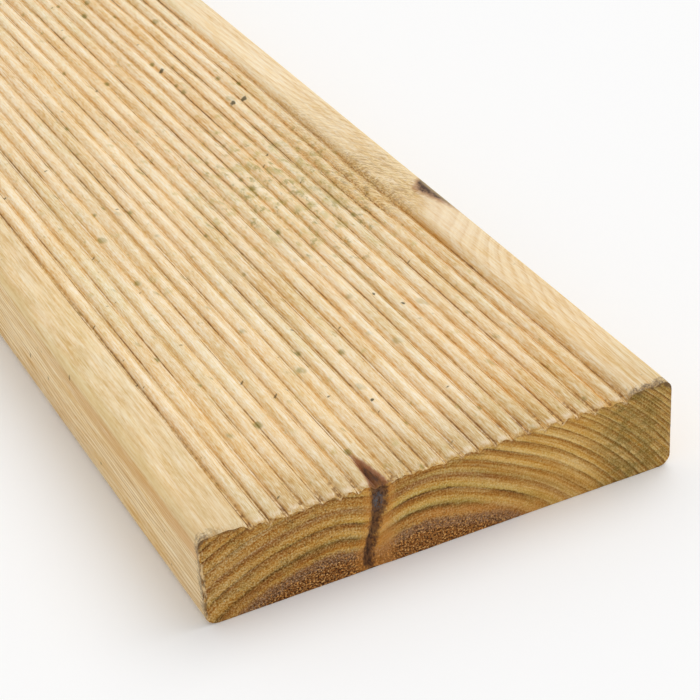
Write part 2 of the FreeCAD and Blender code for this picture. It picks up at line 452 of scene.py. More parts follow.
@dataclass
class DeckingBoard:
    """The board: one closed mesh of the section carried along the length, with its wood's fields."""

    name: str = "decking_board_wood"
    length: float = 1800.0
    section: ReededSection = ReededSection()
    rings: GrowthRings = GrowthRings()
    branch: Branch = Branch()
    pocket: BarkPocket = BarkPocket()
    chips: LatticeNoise = LatticeNoise(21)
    plane: LatticeNoise = LatticeNoise(22)
    saw: LatticeNoise = LatticeNoise(23)
    far_step: float = 20.0
    planer_wave: float = 0.04
    reed_wear: float = 0.36
    chip_reach: float = 1.8
    chip_depth: float = 0.4
    corner_wear: float = 0.55
    torn_depth: float = 0.5
    mouth_depth: float = 0.7
    saw_depth: float = 0.05
    hollow_depth: float = 0.8
    crease: float = 38.0

    def rows(self) -> Array:
        """Places along the length, close together at both ends and where the wood is most worked."""
        close = np.geomspace(1.0, 9.0, 14) - 1.0
        # Each span is a start, a stop and a step, counted from the near end.
        spans = ((close[-1] + 2.0, 96.0, 2.5), (96.0, 166.0, 1.6), (166.0, 332.0, 4.0))
        fine = np.concatenate([np.arange(*span) for span in spans])
        middle = self.length / 2
        left = np.linspace(fine[-1], middle, round((middle - fine[-1]) / self.far_step))[1:]
        right = np.linspace(middle, self.length - 10.0, round((middle - 10.0) / self.far_step))[1:]
        tail = self.length - np.geomspace(1.0, 9.0, 9)[::-1] + 1.0
        return np.concatenate([close, fine, left, right, tail]) - middle

    def tread_relief(self, x: Array, y: Array) -> Array:
        """Depth that planing, wear and torn grain take off the tread.

        Formula: faint waves from the planer, reeds flattened here and there, chipped reed ends that
        fade within a few millimetres of each end, ragged hollows where the grain is torn, and the open
        mouth of the bark pocket.

        Args:
            x: distances across.
            y: places along.

        Returns:
            Depths below the milled section, never negative.
        """
        inside = ease(self.section.half, self.section.half - self.section.arris, np.abs(x))
        waves = self.planer_wave * (1.0 + self.plane.at(x / 9.0, y / 8.0))

        from_end = self.length / 2 - np.abs(y)
        side = np.sign(y) * 7.0
        uneven = self.chips.at(x / 4.5, side + 9.0)
        reach = self.chip_reach + 0.7 * self.chips.at(x / 1.9, side) + 0.8 * uneven
        top = 1.0 - self.section.groove_share(x, np.interp(x, *self.section.tread()))
        over_bed = ease(self.section.outermost + 2.5, self.section.outermost, np.abs(x))
        flat = np.maximum(self.plane.at(x / 4.3, y / 85.0, 30.0), 0.0)
        flattened = self.reed_wear * over_bed * top * flat
        splits = np.maximum(self.chips.at(x / 1.1, side + 3.0), 0.0)
        deep = 0.12 + (self.chip_depth + 0.35 * uneven) * top + 0.5 * splits
        chipped = deep * np.clip(1.0 - from_end / reach, 0.0, 1.0) ** 1.5
        corner = self.corner_wear * ease(46.0, 57.0, np.abs(x)) * ease(2.2, 0.0, from_end)
        corner = corner * (0.55 + 0.45 * self.chips.at(x / 1.6, side + 5.0))

        tufts = self.saw.at((0.5 * x - 0.87 * y) / 5.0, (0.87 * x + 0.5 * y) / 1.5)
        torn = self.torn_depth * self.branch.torn(x, y) * (1.0 + tufts)
        seam = self.pocket.distance(x, y, np.full_like(x, self.section.crest))
        open_mouth = self.mouth_depth * ease(0.3, -0.6, seam)
        return inside * (waves + flattened + chipped + corner + torn + open_mouth)

    def end_relief(self, x: Array, z: Array, y: Array) -> Array:
        """Depth that the saw and the bark pocket take off an end."""
        rough = self.saw_depth * (1.0 + self.saw.at(x / 0.9, z / 1.1, np.sign(y) * 4.0))
        hollow = self.hollow_depth * ease(0.4, -0.7, self.pocket.distance(x, y, z))
        return rough + hollow

    def fields(self, x: Array, y: Array, z: Array) -> dict[str, Array]:
        """Work out the wood's fields that the finishes read.

        Args:
            x: distances across.
            y: places along.
            z: heights.

        Returns:
            ring: growth rings counted out from the heart. heart: millimetres outside the heartwood.
            groove: depth in the reeding. seam: millimetres from the bark pocket. knot: millimetres
            from the branch's axis. bark: millimetres outside its bark. torn: share of torn grain.
            halo: place in the pale oval. rim: millimetres below the tread.
        """
        radius = self.rings.radius(x, y, z) + self.pocket.dip(x, y) - self.branch.push(x, y, z)
        return {
            "ring": self.rings.count(radius),
            "heart": radius - self.rings.heart_radius - 2.6 * ease(0.0, 20.0, x),
            "groove": self.section.groove_share(x, z),
            "seam": self.pocket.distance(x, y, z),
            "knot": self.branch.distance(x, y, z),
            "bark": self.branch.bark(x, y, z),
            "torn": self.branch.torn(x, y) * ease(18.0, 21.0, z),
            "halo": self.branch.halo(x, y),
            "rim": np.interp(x, *self.section.tread()) - z,
        }

    def build(self) -> bpy.types.Object:
        """Make the board's mesh, its fields and its flat map, and put it in the scene.

        Formula: the section's closed outline, tread then right side, underside and left side, is
        carried along the rows. Each end is a grid between the tread's points and the underside, with
        its lowest strip zipped to the underside's wider spacing.

        Returns:
            The board's object, at the origin.
        """
        tread_x, tread_z = self.section.tread()
        under_x, under_z = self.section.underside()
        rows = self.rows()
        columns, steps, bottoms = len(tread_x), self.section.side_steps, len(under_x)
        side = np.linspace(tread_z[0], under_z[0], steps + 1)[1:-1]
        upright = np.full(steps - 1, self.section.half)

        outline_x = np.concatenate([tread_x, upright, under_x[::-1], -upright])
        outline_z = np.concatenate([tread_z, side, under_z[::-1], side[::-1]])
        around, along = len(outline_x), len(rows)
        x = np.tile(outline_x, (along, 1))
        y = np.repeat(rows[:, None], around, axis=1)
        z = np.tile(outline_z, (along, 1))
        z[:, :columns] -= self.tread_relief(x[:, :columns], y[:, :columns])
        for row, inward in ((0, 1.0), (-1, -1.0)):
            y[row] += inward * self.end_relief(x[row], z[row], y[row])
        places = [np.stack([x, y, z], axis=-1).reshape(-1, 3)]

        outline = np.arange(around)
        start, stop = np.arange(along - 1), np.arange(1, along)
        nxt = np.roll(outline, -1)
        tube = np.stack(
            [
                start[:, None] * around + outline,
                start[:, None] * around + nxt,
                stop[:, None] * around + nxt,
                stop[:, None] * around + outline,
            ],
            axis=-1,
        )
        quads, triangles = [tube.reshape(-1, 4)], []
        for row, inward in ((0, 1.0), (along - 1, -1.0)):
            first = sum(len(p) for p in places)
            grid, lowest, inner = self.end_grid(row * around, columns, bottoms, first)
            share = np.arange(1, steps)[:, None] / steps
            top = z[row, :columns]
            floor = np.interp(tread_x, under_x, under_z)
            inner_x = np.tile(tread_x[1:-1], (steps - 1, 1))
            inner_z = (top + (floor - top) * share)[:, 1:-1]
            inner_y = np.full_like(inner_x, rows[row])
            inner_y += inward * self.end_relief(inner_x, inner_z, inner_y)
            places.append(np.stack([inner_x, inner_y, inner_z], axis=-1).reshape(inner, 3))
            cells = np.stack([grid[1:, :-1], grid[1:, 1:], grid[:-1, 1:], grid[:-1, :-1]], axis=-1)
            zipped = self.zip_rows(grid[-1], tread_x, lowest, under_x)
            turned = slice(None, None, 1 if inward > 0 else -1)
            quads.append(cells.reshape(-1, 4)[:, turned])
            triangles.append(zipped[:, turned])

        return self.to_mesh(Shell(np.concatenate(places), quads, triangles, along, around))

    def end_grid(self, row: int, columns: int, bottoms: int, first: int) -> tuple[Array, Array, int]:
        """Number the points of one end's grid.

        Args:
            row: number of the outline's first point at that end.
            columns: number of points across the tread.
            bottoms: number of points across the underside.
            first: number of the first point inside the end.

        Returns:
            The grid of point numbers from the tread down, the underside's numbers from left to right
            and the number of points inside.
        """
        steps = self.section.side_steps
        right = row + columns + np.arange(steps - 1)
        lowest = (row + columns + steps - 1 + np.arange(bottoms))[::-1]
        left = (row + columns + steps - 1 + bottoms + np.arange(steps - 1))[::-1]
        inner = (steps - 1) * (columns - 2)
        grid = np.empty((steps, columns), int)
        grid[0] = row + np.arange(columns)
        grid[1:, 0] = left
        grid[1:, -1] = right
        grid[1:, 1:-1] = first + np.arange(inner).reshape(steps - 1, columns - 2)
        return grid, lowest, inner

    @staticmethod
    def zip_rows(upper: Array, upper_x: Array, lower: Array, lower_x: Array) -> Array:
        """Close the strip between two rows of points with different spacing.

        Formula: each cell of a row makes a triangle with the point of the other row that lies
        nearest to the cell's middle, counted by sorting the middles of both rows' cells.

        Args:
            upper: point numbers of the upper row, from left to right.
            upper_x: distances across of the upper row.
            lower: point numbers of the lower row, from left to right.
            lower_x: distances across of the lower row.

        Returns:
            Triangles as rows of three point numbers, facing the viewer with x to the right.
        """
        upper_middle = (upper_x[1:] + upper_x[:-1]) / 2
        lower_middle = (lower_x[1:] + lower_x[:-1]) / 2
        below = lower[np.searchsorted(lower_middle, upper_middle, side="right")]
        above = upper[np.searchsorted(upper_middle, lower_middle)]
        hung = np.stack([below, upper[1:], upper[:-1]], axis=-1)
        stood = np.stack([lower[:-1], lower[1:], above], axis=-1)
        return np.concatenate([hung, stood])

    def to_mesh(self, shell: Shell) -> bpy.types.Object:
        """Put a shell into a mesh with its fields, slots and flat map, as an object in the scene."""
        mesh = bpy.data.meshes.new(self.name)
        faces = [f for part in (*shell.quads, *shell.triangles) for f in part.tolist()]
        mesh.from_pydata(shell.points * MM, [], faces)
        for name, values in self.fields(*shell.points.T).items():
            column = mesh.attributes.new(name, "FLOAT", "POINT")
            column.data.foreach_set("value", values.astype(np.float32))

        slots = np.full(len(faces), int(Finish.SAWN), np.int32)
        slots[: len(shell.quads[0])] = int(Finish.PLANED)
        mesh.polygons.foreach_set("material_index", slots)
        mesh.polygons.foreach_set("use_smooth", np.ones(len(faces), bool))
        mesh.set_sharp_from_angle(angle=math.radians(self.crease))

        flat = self.flat_map(shell)
        mesh.uv_layers.new(name="OFBake").data.foreach_set("uv", flat.astype(np.float32).ravel())
        mesh.validate()
        board = bpy.data.objects.new(self.name, mesh)
        bpy.context.scene.collection.objects.link(board)
        return board

    def flat_map(self, shell: Shell) -> Array:
        """Unroll the board into the unit square.

        Formula: the long faces are unrolled to girth by length and cut at the middle of the length
        into two panels that stand side by side. The two ends lie in the strip above, enlarged.

        Args:
            shell: the board's points and faces.

        Returns:
            One place in the square for each corner of each face.
        """
        gap, strip = 0.004, 0.884
        points, around = shell.points, shell.around
        middle = shell.along // 2 * around
        ring = points[middle : middle + around, ::2]
        girth = np.concatenate([[0.0], np.cumsum(np.hypot(*(np.roll(ring, -1, axis=0) - ring).T))])
        spot = np.arange(around)[:, None] + np.array([0, 1, 1, 0])
        across = np.tile(girth[spot] / girth[-1], (shell.along - 1, 1))
        length = points[shell.quads[0], 1] / self.length + 0.5
        panel = (length.mean(axis=1, keepdims=True) > 0.5).astype(float)
        u = gap + 0.5 * panel + across * (0.5 - 2 * gap)
        v = gap + np.clip(2.0 * length - panel, 0.0, 1.0) * (strip - 3 * gap)
        corners = [np.stack([u, v], axis=-1).reshape(-1, 2)]
        scale = (0.5 - 2 * gap) / self.section.width
        for part in (*shell.quads[1:], *shell.triangles):
            place = points[part.ravel()]
            far = (place[:, 1] > 0).astype(float)
            end_u = gap + 0.5 * far + (place[:, 0] + self.section.half) * scale
            corners.append(np.stack([end_u, strip + place[:, 2] * scale], axis=-1))
        return np.concatenate(corners)

    def dress(self, board: bpy.types.Object) -> None:
        """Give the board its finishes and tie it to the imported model."""
        board.data.materials.append(PlanedPine(self.section.pitch, self.length).make())
        board.data.materials.append(SawnEndGrain().make())
        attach(board, "root")
        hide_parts("decking_board")


@dataclass(frozen=True)
class Mask:
    """A share that passes from least to most while a value passes from low to high."""

    value: Socket
    low: float = 0.0
    high: float = 1.0
    least: float = 0.0
    most: float = 1.0

    def inputs(self) -> dict[str, Socket | float]:
        """Give the inputs of the range that works the share out."""
        names = ("Value", "From Min", "From Max", "To Min", "To Max")
        return dict(zip(names, (self.value, self.low, self.high, self.least, self.most)))


class WoodTree:
    """A wood finish in the making: its node tree, its colour so far and patterns of real size.

    Places on the wood are in millimetres: x across, y along, z up, and out and end as distances from
    the middle of the width and of the length.
    """

    def __init__(self, name: str, fields: tuple[str, ...]) -> None:
        """Start an empty material under its name, with the wood's fields that it reads."""
        self.material = bpy.data.materials.new(name)
        self.material.use_nodes = True
        self.tree = self.material.node_tree
        self.tree.nodes.clear()
        self.place = self.add("TexCoord", out="Object")
        scaled = self.add("VectorMath", {0: self.place, "Scale": 1.0 / MM}, operation="SCALE")
        self.x, self.y, self.z = (self.add("SeparateXYZ", {0: scaled}, out=axis) for axis in "XYZ")
        self.out = self.add("Math", {0: self.x}, operation="ABSOLUTE")
        self.end = self.add("Math", {0: self.y}, operation="ABSOLUTE")
        self.fields = {key: self.add("Attribute", out="Fac", attribute_name=key) for key in fields}
        self.colour: Socket | None = None

    def add(self, kind: str, inputs: dict[str | int, Any] | None = None, **options: Any) -> Socket:
        """Add one node to the tree."""
        return add_node(self.tree, kind, inputs, **options)

    def grain(self, size: Triple, turn: float = 0.0, detail: float = 3.0, shift: float = 0.0) -> Socket:
        """Noise whose lumps have a real size.

        Args:
            size: a lump's size across, along and through the board, in millimetres.
            turn: turn of the lumps about the upright axis, in degrees.
            detail: number of finer layers.
            shift: distance to another part of the noise, in metres.

        Returns:
            Values round 0.5.
        """
        spot = self.add(
            "Mapping",
            {
                "Vector": self.place,
                "Location": (0.0, 0.0, shift),
                "Rotation": (0.0, 0.0, math.radians(turn)),
                "Scale": tuple(s * MM for s in size),
            },
            vector_type="TEXTURE",
        )
        return self.add("TexNoise", {"Vector": spot, "Scale": 1.0, "Detail": detail, "Roughness": 0.6})

    def fray(self, value: Socket, size: Triple, reach: float, **noise: float) -> Socket:
        """Make a value ragged by adding noise to it.

        Args:
            value: the value.
            size: size of the noise's lumps, in millimetres.
            reach: what is added where the noise is 1.
            noise: further settings of the noise.

        Returns:
            The ragged value.
        """
        lumps = self.grain(size, **noise)
        return self.add("Math", {0: lumps, 1: reach, 2: value}, operation="MULTIPLY_ADD")

    def apart(self, value: Socket, other: Socket | float) -> Socket:
        """Distance between two values."""
        gap = self.add("Math", {0: value, 1: other}, operation="SUBTRACT")
        return self.add("Math", {0: gap}, operation="ABSOLUTE")

    def oval(self, centre: Triple, size: Triple) -> Socket:
        """Distance from a centre that is 1 at the given size, both in millimetres."""
        spot = self.add(
            "Mapping",
            {
                "Vector": self.place,
                "Location": tuple(c * MM for c in centre),
                "Scale": tuple(s * MM for s in size),
            },
            vector_type="TEXTURE",
        )
        return self.add("VectorMath", {0: spot}, out="Value", operation="LENGTH")

    def stain(
        self, tint: str, value: Socket, span: Span, most: float = 1.0, masks: tuple[Mask | Socket, ...] = ()
    ) -> None:
        """Lay a tint over the colour where a value passes from one level to another.

        Args:
            tint: the stain's sRGB hex colour.
            value: the value that places the stain.
            span: levels of the value at which the stain begins and is full.
            most: strength of the full stain.
            masks: further shares that weaken it.
        """
        place = Mask(value, *span, most=most)
        share = self.add("MapRange", place.inputs(), interpolation_type="SMOOTHSTEP")
        for mask in masks:
            weight = self.add("MapRange", mask.inputs()) if isinstance(mask, Mask) else mask
            share = self.add("Math", {0: share, 1: weight}, operation="MULTIPLY")
        self.colour = self.add("Mix", {0: share, 6: self.colour, 7: linear(tint)}, out=2, data_type="RGBA")

    def mottle(self, noise: Socket, depth: Socket | float) -> None:
        """Raise the colour to a power round 1, so that dark spots grow richer and light ones paler."""
        swing = self.add("MapRange", Mask(noise, 0.65, 0.3, least=-0.7).inputs())
        power = self.add("Math", {0: swing, 1: depth, 2: 1.0}, operation="MULTIPLY_ADD")
        self.colour = self.add("Gamma", {"Color": self.colour, "Gamma": power})

    def finish(self, height: Socket, relief: float, roughness: float, gloss: float) -> bpy.types.Material:
        """Close the tree with a bare, dull surface of the colour.

        Args:
            height: the noise of its fine relief.
            relief: height of that relief in millimetres.
            roughness: roughness of the surface.
            gloss: level of its reflection.

        Returns:
            The finished material.
        """
        bump = self.add("Bump", {"Height": height, "Strength": 0.6, "Distance": relief * MM})
        surface = {"Roughness": roughness, "IOR": 1.5, "Specular IOR Level": gloss, "Normal": bump}
        shader = self.add("BsdfPrincipled", {"Base Color": self.colour, **surface})
        self.add("OutputMaterial", {"Surface": shader})
        return self.material


@dataclass(frozen=True)
class PlanedPine:
    """Pressure-treated pine off the planer, bare: cream early wood, tan late wood, no gloss.

    Each large speck is given by its distance across, its distance from the near end and its size.
    """

    pitch: float
    length: float
    name: str = "planed_treated_pine"
    fields: tuple[str, ...] = ("ring", "heart", "groove", "seam", "knot", "bark", "torn", "halo")
    early: str = "#f9e5c0"
    late: str = "#c88e30"
    side_early: str = "#fbe5b8"
    side_late: str = "#c0955a"
    warm: str = "#e3ba70"
    mossy: str = "#d6cb9c"
    hollow: str = "#cf9e42"
    # A dusky stain on the wood, and painted shade in some grooves.
    dusk_and_shade: str = "#b39450"
    # Painted shade in the grooves and on the flanks beside them.
    amber_shade: str = "#e0a03e"
    # Dark strokes and dirt, and painted shade lines along the grooves.
    umber_and_shade: str = "#774918"
    olive: str = "#7f7626"
    salts: str = "#b3a457"
    speck: str = "#52482a"
    heart: str = "#b98552"
    bark: str = "#402b20"
    resin: str = "#8c4c2a"
    torn: str = "#bd8f40"
    # Pale wood and fibres, and a painted highlight line in the grooves.
    pale_and_highlight: str = "#f6e3ca"
    burnish: str = "#cf9950"
    honey: str = "#efd59d"
    worn: str = "#7b664e"
    roughness: float = 0.75
    gloss: float = 0.3
    relief: float = 0.06
    specks: tuple[Triple, ...] = (
        (35.8, 196.4, 1.0),
        (39.9, 197.6, 1.0),
        (26.6, 230.6, 0.9),
        (23.8, 64.7, 0.6),
        (19.6, 72.7, 0.5),
        (-2.9, 29.9, 0.5),
    )

    @property
    def half(self) -> float:
        """Half the length."""
        return self.length / 2

    def make(self) -> bpy.types.Material:
        """Build the finish: rings, clouds, reeds, fibre, pores, flecks, knot, bark and wear, in order."""
        wood = WoodTree(self.name, self.fields)
        fibre = wood.grain((0.4, 12.0, 0.4))
        for layer in (self.rings, self.tinge, self.reeding):
            layer(wood)
        wood.mottle(fibre, 0.38)
        # The pores are drawn several times as wide as real ones, so that they show.
        pores = wood.grain((0.3, 2.4, 0.3), detail=2.0)
        rough = wood.add("MapRange", Mask(wood.out, 50.0, 48.0, 0.18, 0.44).inputs())
        wood.mottle(pores, rough)
        for layer in (self.flecks, self.knot, self.seam, self.wear):
            layer(wood)
        return wood.finish(fibre, self.relief, self.roughness, self.gloss)

    def rings(self, wood: WoodTree) -> None:
        """Early wood that turns to late wood towards each ring's rim, clearest on flanks and sides."""
        ring = wood.fields["ring"]
        for size, reach in (((7.0, 55.0, 7.0), 0.9), ((1.6, 40.0, 1.6), 0.3)):
            ring = wood.fray(ring, size, reach)
        share = wood.add("Math", {0: ring}, operation="FRACT")
        stops = ((0.0, 0.5), (1.0, 0.5), (0.06, 0.12), (0.16, 0.0), (0.42, 0.08), (0.68, 0.55), (0.9, 1.0))
        late = wood.add("ValToRGB", {"Fac": share}, stops=stops)
        broad = wood.grain((14.0, 120.0, 14.0))
        masks = (
            Mask(wood.out, 57.5, 59.8),
            Mask(wood.x, 48.0, 51.0),
            Mask(wood.fields["knot"], 75.0, 30.0, most=0.13),
            Mask(wood.fields["groove"], 0.0, 0.4, 0.22, 0.26),
            Mask(broad, 0.3, 0.7, 0.5, 1.2),
        )
        side, margin, turned, strength, broad = (wood.add("MapRange", mask.inputs()) for mask in masks)
        strength = wood.add("Math", {0: margin, 1: turned, 2: strength}, operation="MULTIPLY_ADD")
        strength = wood.add("Mix", {0: side, 2: strength, 3: 0.3})
        late = wood.add("Math", {0: late, 1: strength}, operation="MULTIPLY")
        late = wood.add("Math", {0: late, 1: broad}, operation="MULTIPLY", use_clamp=True)
        tones = [
            wood.add("Mix", {0: side, 6: linear(top), 7: linear(edge)}, out=2, data_type="RGBA")
            for top, edge in ((self.early, self.side_early), (self.late, self.side_late))
        ]
        wood.colour = wood.add("Mix", {0: late, 6: tones[0], 7: tones[1]}, out=2, data_type="RGBA")
        lines = wood.add("Math", {0: ring, 1: 0.15}, operation="PINGPONG")
        wood.stain(self.side_late, lines, (0.06, 0.14), 0.95, (Mask(side, least=0.1, most=0.75), broad))
        wood.stain(self.side_late, wood.z, (9.0, 2.0), 0.26, (side,))
        wood.stain(self.side_late, wood.grain((3.6, 110.0, 3.6), shift=8.0), (0.46, 0.62), 0.28, (side,))

    def tinge(self, wood: WoodTree) -> None:
        """Broad warm and mossy clouds, a heart tint, and a darker stain drawn in at the ends."""
        clouds = (
            (self.warm, (12.0, 70.0, 12.0), 0.0, (0.46, 0.72), 0.4),
            (self.mossy, (14.0, 60.0, 14.0), 3.0, (0.46, 0.72), 0.35),
            (self.hollow, (3.0, 32.0, 3.0), 0.0, (0.5, 0.75), 0.45),
        )
        for tint, size, shift, span, most in clouds:
            wood.stain(tint, wood.grain(size, shift=shift), span, most)
        wood.stain(self.heart, wood.fields["heart"], (1.0, -1.5), 0.6)
        tread = Mask(wood.z, 20.0, 23.0)
        smudge = Mask(wood.grain((3.0, 12.0, 3.0), shift=11.0), 0.4, 0.65)
        left_margin = (-48.0, -50.0)
        wood.stain(self.dusk_and_shade, wood.x, left_margin, 0.08, (tread,))
        wood.stain(self.dusk_and_shade, wood.x, left_margin, 0.3, (tread, smudge))
        wood.stain(self.warm, wood.x, left_margin, 0.1, (tread,))
        close = Mask(wood.y, -780.0, -850.0)
        wood.stain(self.late, wood.x, (8.0, 34.0), 0.1, (close,))
        middle = Mask(wood.out, 50.0, 36.0, least=0.5)
        wood.stain(self.dusk_and_shade, wood.end, (self.half - 28.0, self.half), 0.5, (middle,))

    def reeding(self, wood: WoodTree) -> None:
        """Honey grooves and tan streaks; painted amber shade in the grooves and on the flank beside each
        groove that faces away from the lamp, painted dusky shade in some grooves, and thin painted shade
        lines with a painted highlight line between them, broken along their length.
        """
        groove = wood.fields["groove"]
        wood.stain(self.honey, groove, (0.4, 1.0), 0.5)
        weight = Mask(groove, 0.0, 0.6, least=0.32, most=0.36)
        wood.stain(self.late, wood.grain((1.1, 60.0, 1.1), shift=12.0), (0.45, 0.66), 0.55, (weight,))
        right = Mask(wood.x, -10.0, 25.0, least=0.35)
        # Painted shade: amber darkens the grooves by their depth, more strongly towards the right.
        wood.stain(self.amber_shade, groove, (0.3, 0.9), 0.28, (right,))
        # Painted shade: a dusky stain darkens some grooves more than others.
        wood.stain(self.dusk_and_shade, wood.grain((4.2, 170.0, 4.2), shift=15.0), (0.48, 0.62), 0.3, (groove,))
        count = wood.add("Math", {0: wood.x, 1: self.pitch}, operation="DIVIDE")
        count = wood.add("Math", {0: count, 1: 0.5}, operation="ADD")
        offset = wood.add("Math", {0: count}, operation="FRACT")
        # Painted shade on the flank just beside each groove, the flank that faces away from the lamp.
        bed = Mask(wood.out, 48.5, 47.0)
        shaded = Mask(offset, 0.5, 0.56)
        wood.stain(self.amber_shade, offset, (0.9, 0.55), 0.15, (shaded, bed))
        # Two thin painted shade lines along each groove's floor, with a painted highlight line between
        # them.
        shade_and_highlight_lines = ((-0.055, self.umber_and_shade, 0.8), (0.085, self.umber_and_shade, 0.8), (0.02, self.pale_and_highlight, 0.5))
        for shift, tint, most in shade_and_highlight_lines:
            waver = wood.grain((4.0, 60.0, 4.0), shift=50.0 * shift)
            centre = Mask(waver, least=0.44 + shift, most=0.56 + shift)
            centre = wood.add("MapRange", centre.inputs())
            gap = wood.fray(wood.apart(offset, centre), (1.0, 2.4, 1.0), 0.05)
            broken = Mask(wood.grain((3.0, 40.0, 3.0), shift=70.0 * shift), 0.45, 0.62)
            wood.stain(tint, gap, (0.06, 0.042), most, (broken, groove))

    def flecks(self, wood: WoodTree) -> None:
        """Olive blots of treatment salts, thickest near the knot, small specks, and a few larger ones."""
        patch = wood.oval((28.0, 138.0 - self.half, 23.0), (27.0, 45.0, 60.0))
        reach = wood.add("MapRange", Mask(patch, 1.4, 0.4, -0.1, 0.03).inputs())
        wood.stain(self.dusk_and_shade, wood.fields["knot"], (48.0, 14.0), 0.06)
        crumbs = wood.add("MapRange", Mask(wood.grain((0.6, 1.0, 0.6)), 0.3, 0.55).inputs())
        bed = Mask(wood.out, 50.0, 46.0)
        wood.stain(self.olive, wood.fray(reach, (2.6, 4.6, 2.6), 1.0), (0.54, 0.7), 0.62, (crumbs, bed))
        wood.stain(self.salts, wood.fray(reach, (4.5, 6.5, 4.5), 1.0, shift=9.0), (0.5, 0.66), 0.38, (bed,))
        sunk = Mask(wood.fields["groove"], 0.0, 0.7, least=0.3)
        dots = (
            ((4.0, 8.0, 4.0), 0.45, 0.3, self.olive, (-0.04, 0.14), 0.7, (sunk, bed)),
            ((4.4, 2.6, 4.4), 0.68, 0.24, self.speck, (0.0, 0.1), 0.75, ()),
        )
        for size, scarce, most, tint, span, strength, masks in dots:
            cells = wood.add(
                "Mapping",
                {"Vector": wood.place, "Scale": tuple(s * MM for s in size), "Rotation": (0.0, 0.0, 0.3)},
                vector_type="TEXTURE",
            )
            inputs = {"Vector": cells, "Scale": 1.0}
            gap, pick = (wood.add("TexVoronoi", inputs, out=out) for out in ("Distance", "Color"))
            room = wood.add("MapRange", Mask(pick, scarce, most=most).inputs())
            over = wood.add("Math", {0: room, 1: gap}, operation="SUBTRACT")
            over = wood.add("Math", {0: crumbs, 1: 0.06, 2: over}, operation="MULTIPLY_ADD")
            wood.stain(tint, over, span, strength, masks)
        for across, along, size in self.specks:
            away = wood.oval((across, along - self.half, 23.0), (1.0 * size, 1.4 * size, 4.0))
            away = wood.add("Math", {0: crumbs, 1: 0.5, 2: away}, operation="MULTIPLY_ADD")
            wood.stain(self.speck, away, (1.4, 0.9), 0.9)

    def knot(self, wood: WoodTree) -> None:
        """A pale oval before the branch, torn grain that sweeps towards it behind, and its bark."""
        groove = wood.fields["groove"]
        edge = wood.fray(wood.fields["halo"], (2.0, 5.0, 2.0), 0.6)
        wood.stain(self.late, edge, (2.4, 1.6), 0.6, (groove,))
        wood.stain(self.pale_and_highlight, edge, (1.6, 0.8), 0.25)
        hatched = Mask(groove, least=0.8, most=1.1)
        strokes = (
            (self.torn, (0.5, 5.0, 0.5), 38.0, 0.5),
            (self.honey, (0.35, 5.0, 0.35), 24.0, 0.75),
            (self.umber_and_shade, (0.4, 4.0, 0.4), 31.0, 0.4),
        )
        for tint, size, turn, most in strokes:
            wood.stain(tint, wood.grain(size, turn), (0.51, 0.57), most, (wood.fields["torn"], hatched))
        edge = wood.fray(wood.fields["bark"], (1.1, 1.6, 1.1), 2.2)
        wood.stain(self.resin, edge, (3.3, 1.2), 0.6)
        dark = Mask(wood.grain((1.0, 2.0, 1.0), shift=2.0), 0.62, 0.46, least=0.7)
        wood.stain(self.bark, edge, (1.7, 0.3), 0.95, (dark,))

    def seam(self, wood: WoodTree) -> None:
        """The bark pocket's dark mouth with a resin-stained edge."""
        edge = wood.fray(wood.fields["seam"], (0.7, 2.5, 0.7), 1.4, detail=4.0)
        wood.stain(self.resin, edge, (1.8, 0.8), 0.85)
        dark = Mask(wood.grain((0.25, 7.0, 0.25), shift=3.0), 0.6, 0.45, least=0.25)
        wood.stain(self.bark, edge, (0.8, 0.1), 0.85, (dark,))

    def wear(self, wood: WoodTree) -> None:
        """Burnished arrises, pale fibres at the reeds' cut ends, dirt in their grooves, grimy corners."""
        half = self.half
        patch = Mask(wood.grain((5.0, 45.0, 5.0)), 0.35, 0.55)
        turned = Mask(wood.out, 57.4, 59.2)
        under = Mask(wood.z, 22.2, 20.6)
        rubbed = Mask(wood.end, half - 90.0, half - 30.0, least=0.4)
        wood.stain(self.burnish, wood.z, (15.8, 18.8), 0.6, (turned, under, patch, rubbed))
        wood.stain(self.honey, wood.z, (21.2, 22.4), 0.5, (turned, patch))

        groove = wood.fields["groove"]
        ridge = Mask(groove, 0.6, 0.2)
        bed = Mask(wood.out, 50.0, 48.0)
        frayed = wood.fray(wood.end, (0.8, 3.0, 0.8), 3.0)
        wood.stain(self.pale_and_highlight, frayed, (half - 0.8, half + 0.9), 0.55, (ridge, bed))
        some = Mask(wood.grain((4.0, 9.0, 4.0), shift=9.0), 0.45, 0.6)
        wood.stain(self.torn, frayed, (half + 0.2, half + 1.8), 0.8, (some,))
        margin = Mask(wood.x, -47.5, -50.0)
        wood.stain(self.pale_and_highlight, wood.end, (half - 30.0, half - 4.0), 0.12, (margin,))
        dots = wood.fray(wood.grain((0.8, 1.3, 0.8)), (9.0, 14.0, 9.0), 0.6, shift=6.0)
        dirt = (Mask(dots, 0.78, 0.95), Mask(groove, 0.4, 0.9))
        wood.stain(self.umber_and_shade, wood.end, (half - 14.0, half), 0.8, dirt)
        wood.stain(self.umber_and_shade, wood.x, (-45.5, -47.0), 0.35, dirt)

        corners = (Mask(wood.x, 47.0, 50.0), Mask(wood.x, -53.0, -57.5, most=0.9))
        right, left = (wood.add("MapRange", corner.inputs()) for corner in corners)
        edge = wood.add("Math", {0: right, 1: left}, operation="MAXIMUM")
        ragged = wood.fray(wood.end, (1.6, 1.2, 1.6), 7.0, detail=5.0)
        gritty = Mask(wood.grain((0.5, 0.5, 0.5)), 0.4, 0.56, least=0.3)
        wood.stain(self.worn, ragged, (half + 1.3, half + 3.2), 0.95, (edge, gritty))


